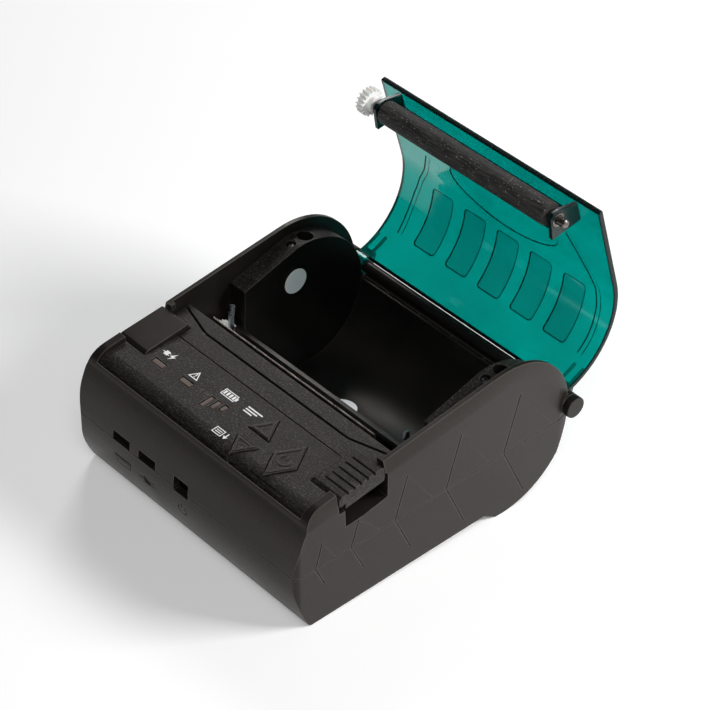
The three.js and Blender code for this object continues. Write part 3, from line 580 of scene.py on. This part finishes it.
# ---- lid ----
LID = {"half": 51.0, "r": 28.6, "t": 2.0, "front": 48.8, "rear_angle": math.radians(4.5)}
TOP_TILT = math.atan(0.125)
INNER = LID["r"] - LID["t"]
ARC_END = math.pi / 2 + TOP_TILT
ARC_LENGTH = INNER * (ARC_END - LID["rear_angle"])


def along_lid(angle):
    """Distance along the lid's inner face from its rear edge to an angle in degrees about the drum."""
    return INNER * (math.radians(angle) - LID["rear_angle"])


def bend_to_lid(co):
    """(x, distance along the lid, depth outwards from its inner face) to the closed lid's place."""
    x, run, depth = co
    if run <= ARC_LENGTH:
        angle = LID["rear_angle"] + run / INNER
        radius = INNER + depth
        return Vector((x, DRUM.y + radius * math.cos(angle), DRUM.z + radius * math.sin(angle)))
    out = Vector((0, math.cos(ARC_END), math.sin(ARC_END)))
    ahead = Vector((0, -math.sin(ARC_END), math.cos(ARC_END)))
    start = Vector((x, DRUM.y, DRUM.z)) + out * (INNER + depth)
    return start + ahead * (run - ARC_LENGTH)


# the outer face ends at the lid's front; the inner face ends a little sooner, square to the lid
LID_LENGTH = ARC_LENGTH + (DRUM.y + INNER * math.cos(ARC_END) - LID["front"]) / math.sin(ARC_END) - 0.3


BORDER_DEPTH = 0.12
FLOOR_DEPTH = 0.24


def lid_recess(thing, outer, inner):
    """Sinks an outline into the flat lid, with a shallower border round it."""
    for outline, depth in ((outer, BORDER_DEPTH), (inner, FLOOR_DEPTH)):
        bm = bmesh.new()
        prism(bm, outline, -1.0, depth, "Z")
        carve(thing, bm, Matrix.Identity(4))


def lid_piece():
    """Made flat, carved, its edges rounded, then bent round the drum."""
    bm = bmesh.new()
    prism(bm, bar(-LID["half"], 0, LID["half"], LID_LENGTH), 0, LID["t"] - 0.02, "Z")
    bevel(bm, 0.45, 3)
    thing = mesh_object("lid.skin", bm)
    thing.data.materials.append(lid_teal)
    windows = [(-35.2, -25.2), (-19.4, -9.3), (-3.6, 6.6), (12.2, 22.3), (28.0, 38.0)]
    low, high = along_lid(32.2), along_lid(80.0)
    for x0, x1 in windows:
        outer = rounded(bar(x0 - 0.2, low - 0.2, x1 + 0.2, high + 0.2), 1.7, 5)
        inner = rounded(bar(x0 + 0.2, low + 0.2, x1 - 0.2, high - 0.2), 1.4, 5)
        lid_recess(thing, outer, inner)
    # a long channel down each side, curving in towards the platen
    left = [(-42.4, along_lid(32.8)), (-43.0, along_lid(45)), (-43.2, along_lid(55)), (-42.9, along_lid(66)),
            (-41.4, along_lid(80)), (-38.6, along_lid(92)), (-35.3, along_lid(97) + 7)]
    right = [(45.4, along_lid(32.2)), (45.5, along_lid(45)), (45.3, along_lid(55)), (44.7, along_lid(70)),
             (43.2, along_lid(84)), (40.2, along_lid(95)), (36.4, along_lid(97) + 7),
             (32.6, along_lid(97) + 14)]
    for path in (left, right):
        lid_recess(thing, rounded(strip(path, 2.2), 0.7, 3), rounded(strip(path, 1.5), 0.5, 3))
    turns = [2 * math.pi * k / 64 for k in range(64)]
    middle = along_lid(97.1) + 6.5
    ovals = [[(1.2 + (25.5 + w) * math.cos(a), middle + (10.8 + w) * math.sin(a)) for a in turns]
             for w in (0.18, -0.18)]
    lid_recess(thing, *ovals)
    bm = bmesh.new()
    bm.from_mesh(thing.data)
    step = 1.1
    for k in range(1, int(LID_LENGTH / step)):
        everything = bm.verts[:] + bm.edges[:] + bm.faces[:]
        bmesh.ops.bisect_plane(bm, geom=everything, plane_co=(0, k * step, 0), plane_no=(0, 1, 0), dist=1e-4)
    bmesh.ops.dissolve_degenerate(bm, dist=1e-4, edges=bm.edges)
    # the rim faces take the darker edge finish, the floors of the recesses the windows'
    for face in bm.faces:
        centre, normal = face.calc_center_median(), face.normal
        outer_edge = abs(centre.x) > LID["half"] - 0.6 or centre.y < 0.6 or centre.y > LID_LENGTH - 0.6
        recess_side = abs(normal.z) < 0.5 and centre.z < FLOOR_DEPTH + 0.1
        border = BORDER_DEPTH - 0.05 < centre.z < BORDER_DEPTH + 0.05 and normal.z < -0.9
        in_window = any(x0 < centre.x < x1 for x0, x1 in windows) and low < centre.y < high
        floor = FLOOR_DEPTH - 0.05 < centre.z < FLOOR_DEPTH + 0.05 and normal.z < -0.9
        face.material_index = 1 if outer_edge or recess_side or border else (2 if floor and in_window else 0)
    for vert in bm.verts:
        vert.co = bend_to_lid(vert.co)
    done = mesh_object("lid_cover", bm, TO_LID, 28)
    bpy.data.objects.remove(thing)
    for material in (lid_teal, lid_edge, lid_window):
        done.data.materials.append(material)
    return done


piece(lid_piece(), lid_teal, "lid", "lid_teal", "lid")


def hinge_hooks():
    """The lid's two hinge knuckles with their webs and stiffening ribs."""
    bm = bmesh.new()
    bore, r, edge = 2.35, 3.6, 0.3
    for x0, x1 in ((-51, -45.2), (45.2, 51)):
        knuckle = [(x0, bore), (x0, r - edge), (x0 + edge, r), (x1 - edge, r), (x1, r - edge), (x1, bore),
                   (x0, bore)]
        lathe(bm, knuckle, HINGE, 40)
        web = [(114.2, 28.4), (115.0, 27.6), (119.4, 28.6), (117.6, 30.6), (116.0, 31.6), (114.6, 31.4)]
        prism(bm, rounded(web, 0.4, 3), x0 + 0.2, x1 - 0.2)
        for x in (x0 + 0.6, x1 - 1.4):
            rib = [(113.7, 29.6), (115.4, 28.6), (112.9, 38.0), (111.3, 37.4)]
            prism(bm, rounded(rib, 0.3, 2), x, x + 0.8)
    return mesh_object("lid_hooks", bm, TO_LID)


hooks = hinge_hooks()
hooks.data.materials.append(lid_teal)
even_shading(hooks)
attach(hooks, "lid")


# ---- platen ----
def platen_pieces():
    """The ground rubber roller and its turned shaft."""
    bm = bmesh.new()
    half, r, bore = 38.5, 4.2, 1.62
    profile = [(-half, bore), (-half, r - 0.5), (-half + 0.15, r - 0.18), (-half + 0.5, r)]
    profile += [(-half + 2.0, r), (half - 2.0, r)]
    profile += [(half - 0.5, r), (half - 0.15, r - 0.18), (half, r - 0.5), (half, bore), (-half, bore)]
    lathe(bm, profile, PLATEN, 96)
    roller = mesh_object("platen_rubber", bm, TO_LID)
    piece(roller, platen_rubber, "platen", "platen_rubber", "platen_roller")
    # the shaft has a groove for a clip near its right end, and a centre drilled in that end
    bm = bmesh.new()
    left, drilled, r = -48.9, 45.1, 1.5
    profile = [(left, 0.0), (left, 1.2), (left + 0.3, r), (44.4, r), (44.4, 1.1), (44.8, 1.1), (44.8, r),
               (45.3, r), (45.6, 1.15), (45.6, 0.55), (drilled, 0.0)]
    rings = lathe(bm, profile, PLATEN, 40)
    bmesh.ops.pointmerge(bm, verts=rings[0], merge_co=(left, PLATEN.y, PLATEN.z))
    bmesh.ops.pointmerge(bm, verts=rings[-1], merge_co=(drilled, PLATEN.y, PLATEN.z))
    shaft = mesh_object("platen_axle", bm, TO_LID)
    piece(shaft, axle_steel, "platen", "bright_steel", "platen_shaft")


platen_pieces()

# ---- signs and keys on the deck ----


SIGN_SCALE = 1.3


def printed(name, outlines, at, border=None, body="base"):
    """Thin printed shapes lying on the deck round a point, as one piece."""
    bm = bmesh.new()
    low, high = -0.02, 0.035

    def placed(outline):
        return [(x * SIGN_SCALE + at[0], y * SIGN_SCALE + at[1]) for x, y in outline]

    for outline in outlines:
        prism(bm, placed(outline), low, high, "Z")
    if border:
        hoop(bm, placed(border), 0, 0.36, low, high)
    thing = mesh_object(name, bm, TO_DECK)
    thing.data.materials.append(print_white)
    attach(thing, body)


bolt = [(0.5, 1.5), (-0.9, -0.2), (-0.1, -0.2), (-0.5, -1.5), (0.9, 0.25), (0.1, 0.25)]
plug_sign = [bar(-2.9, -0.75, -1.6, 0.75), bar(-1.6, 0.25, -1.1, 0.5), bar(-1.6, -0.5, -1.1, -0.25),
             bar(-3.6, -0.13, -2.9, 0.13)]
warning_edge = [(-1.7, -1.2), (1.7, -1.2), (0, 1.6)]
warning = [bar(-0.15, -0.25, 0.15, 0.65), bar(-0.15, -0.75, 0.15, -0.45)]
battery = frame_bars(-2.6, -1.15, 2.2, 1.15, 0.25) + [bar(2.2, -0.5, 2.7, 0.5)]
battery += [bar(-2.1 + i * 1.05, -0.65, -1.45 + i * 1.05, 0.65) for i in range(4)]
steps_sign = [bar(-2.6, 0.75 - i * 0.85, 2.6 - i * 1.1, 1.15 - i * 0.85) for i in range(3)]
feed_sign = frame_bars(-2.6, -1.1, 0.6, 1.1, 0.25)
feed_sign += [bar(-2.0, 0.2, 0.0, 0.42), bar(-2.0, -0.4, 0.0, -0.18)]
feed_sign += [bar(1.55, -0.1, 1.85, 1.1), [(1.0, -0.1), (2.4, -0.1), (1.7, -1.1)]]
printed("sign_charge", [bolt] + plug_sign, (-33.2, 20.9))
printed("sign_error", warning, (-21.0, 20.6), warning_edge)
printed("sign_battery", battery, (-6.0, 22.4))
printed("sign_mode", steps_sign, (5.4, 22.0))
printed("sign_feed", feed_sign, (5.6, 8.9))

KEY_TOP = 0.5


def key_rim(name, points, body, extra=()):
    """The raised border that runs round a key's top, with any raised sign."""
    bm = bmesh.new()
    low, high = KEY_TOP - 0.1, KEY_TOP + 0.22
    hoop(bm, points, 0.55, 0.6, low, high)
    for outline in extra:
        prism(bm, outline, low, high, "Z")
    bevel(bm, 0.08, 2)
    thing = mesh_object(name, bm, TO_DECK)
    thing.data.materials.append(deck_grain)
    even_shading(thing)
    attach(thing, body)


KEYS = {
    "mode": [(9.3, 17.1), (18.9, 17.1), (14.1, 25.6)],
    "feed": [(9.6, 12.4), (14.4, 4.5), (19.2, 12.4)],
    "power": [(29.3, 5.6), (34.7, 14.8), (29.3, 24), (23.9, 14.8)],
}
power_sign = [ring(29.3, 14.6, 2.1, 0.6, 125, 415), bar(29.0, 15.2, 29.6, 17.6)]
for name, points in KEYS.items():
    key_rim(name + "_rim", points, name + "_key", power_sign if name == "power" else ())


# ---- tear bar ----
def tear_bar():
    """A thin blade with fine ground teeth, leaning back a little."""
    half, pitch, count = 39.6, 0.8, 99
    root, tip = 6.25, 6.95
    outline = [(-half, 0), (half, 0)]
    for i in range(count):
        x = half - i * pitch
        outline += [(x - 0.04, root), (x - pitch / 2, tip)]
    outline.append((-half, root))
    bm = bmesh.new()
    prism(bm, outline, 0, 0.5, "Z")
    lean = Vector((0, 0.08, 0.997)).normalized()
    back = Vector((0, -0.997, 0.08)).normalized()
    turn = Matrix((Vector((1, 0, 0)), lean, back)).transposed().to_4x4()
    return mesh_object("tear_bar.skin", bm, TO_ROW @ Matrix.Translation((0, 43.0, 39.6)) @ turn)


piece(tear_bar(), tear_steel, "base", "dark_steel", "tear_bar")


# ---- screws: a domed head with a cross recess ----
SCREW_SIDES = 32
SCREW_RIM = 0.55
SCREW_TOP = 1.02


def screw(name, x, y, z, r, node):
    bm = bmesh.new()
    profile = [(0.0, r), (SCREW_RIM, r), (0.85, r * 0.86), (1.0, r * 0.6), (SCREW_TOP, 0.001)]
    turns = [2 * math.pi * k / SCREW_SIDES for k in range(SCREW_SIDES)]
    rings = [[bm.verts.new((x + radius * math.cos(a), y + radius * math.sin(a), z + height)) for a in turns]
             for height, radius in profile]
    for first, second in zip(rings, rings[1:]):
        for k in range(SCREW_SIDES):
            m = (k + 1) % SCREW_SIDES
            bm.faces.new((first[k], first[m], second[m], second[k]))
    bm.faces.new(rings[0][::-1])
    bmesh.ops.pointmerge(bm, verts=rings[-1], merge_co=(x, y, z + SCREW_TOP))
    thing = mesh_object(name, bm, TO_ROW)
    thing.data.materials.append(dark_steel)
    for half_x, half_y in ((r * 0.5, r * 0.13), (r * 0.13, r * 0.5)):
        cut = bmesh.new()
        prism(cut, bar(x - half_x, y - half_y, x + half_x, y + half_y), z + SCREW_RIM, z + 3, "Z")
        carve(thing, cut, TO_ROW)
    piece(thing, dark_steel, "base", "dark_steel", node)


for side, name in ((-1, "left"), (1, "right")):
    screw(name + "_cheek_screw.skin", side * 47.1, 83.9, 50.1, 1.4, name + "_cheek_screw")
    screw(name + "_well_screw.skin", side * 47.4, 90.6, 42.6, 2.4, name + "_well_screw")

# ---- floor, light and camera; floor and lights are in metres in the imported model's frame ----


def studio():
    bm = bmesh.new()
    size = 3.0
    corners = [(-size, -size), (size, -size), (size, size), (-size, size)]
    bm.faces.new([bm.verts.new((x, y, 0)) for x, y in corners])
    floor = mesh_object("floor", bm)
    material, shader = new_material("floor_pale", Roughness=0.6)
    cloud = noise(material, 3, 2)
    tone = mix(material, cloud, (0.84, 0.84, 0.84), (0.86, 0.86, 0.86))
    link(material, tone, shader.inputs["Base Color"])
    shader.inputs["Emission Color"].default_value = (1, 1, 1, 1)
    shader.inputs["Emission Strength"].default_value = 0.24
    floor.data.materials.append(material)

    world = bpy.data.worlds.new("studio")
    world.use_nodes = True
    nodes, links = world.node_tree.nodes, world.node_tree.links
    place = nodes.new("ShaderNodeTexCoord")
    split = nodes.new("ShaderNodeSeparateXYZ")
    blend = nodes.new("ShaderNodeMapRange")
    blend.inputs["From Min"].default_value = 0.05
    blend.inputs["From Max"].default_value = 0.9
    blend.inputs["To Min"].default_value = 0.6
    blend.inputs["To Max"].default_value = 0.4
    links.new(place.outputs["Generated"], split.inputs[0])
    links.new(split.outputs["Z"], blend.inputs["Value"])
    links.new(blend.outputs["Result"], nodes["Background"].inputs["Strength"])
    bpy.context.scene.world = world
    bpy.context.scene.view_settings.view_transform = "Standard"


def softbox(name, where, aim, size, power):
    light = bpy.data.lights.new(name, "AREA")
    light.shape = "RECTANGLE"
    light.size, light.size_y = size
    light.energy = power
    lamp = bpy.data.objects.new(name, light)
    lamp.location = where
    lamp.rotation_euler = (Vector(aim) - Vector(where)).to_track_quat("-Z", "Y").to_euler()
    bpy.context.scene.collection.objects.link(lamp)


def camera():
    """Sees the printer from its front right, high up, with a long lens."""
    azimuth, elevation, roll = (math.radians(v) for v in (47.63, 39.48, 0.45))
    lens, sensor = 141.5003, 36.0
    target = Vector((0, 60, 30))
    back = Vector((math.sin(azimuth) * math.cos(elevation), -math.cos(azimuth) * math.cos(elevation),
                   math.sin(elevation)))
    right = (-back).cross(Vector((0, 0, 1))).normalized()
    down = (-back).cross(right)
    c, s = math.cos(roll), math.sin(roll)
    right, down = right * c - down * s, right * s + down * c
    # where the target sits in the camera's own frame
    offset = Vector((-7.93, 11.70, 916.68))
    place = target - right * offset.x - down * offset.y + back * offset.z
    turn = Matrix((right, -down, back)).transposed().to_4x4()
    spin = Matrix.Rotation(STAND_ANGLE, 4, "X")
    data = bpy.data.cameras.new("camera")
    data.sensor_width = sensor
    data.lens = lens
    data.clip_start, data.clip_end = 0.05, 20
    seen = bpy.data.objects.new("camera", data)
    seen.matrix_world = Matrix.Translation(TO_ROW @ place) @ spin @ turn
    bpy.context.scene.collection.objects.link(seen)
    bpy.context.scene.camera = seen


for node, thing in frame["nodes"].items():
    if not thing.hide_render:
        thing.data.materials.clear()
        thing.data.materials.append(LOOKS[SLOT_OF[node]])

studio()
softbox("key", (0.35, -0.45, 0.8), (0, 0, 0.04), (0.5, 0.5), 3.5)
softbox("rim", (0.62, 0.52, 0.58), (0, 0, 0.05), (0.4, 0.25), 9)
softbox("left", (-0.6, 0.5, 0.6), (0, 0, 0.04), (0.3, 0.3), 2.5)
camera()
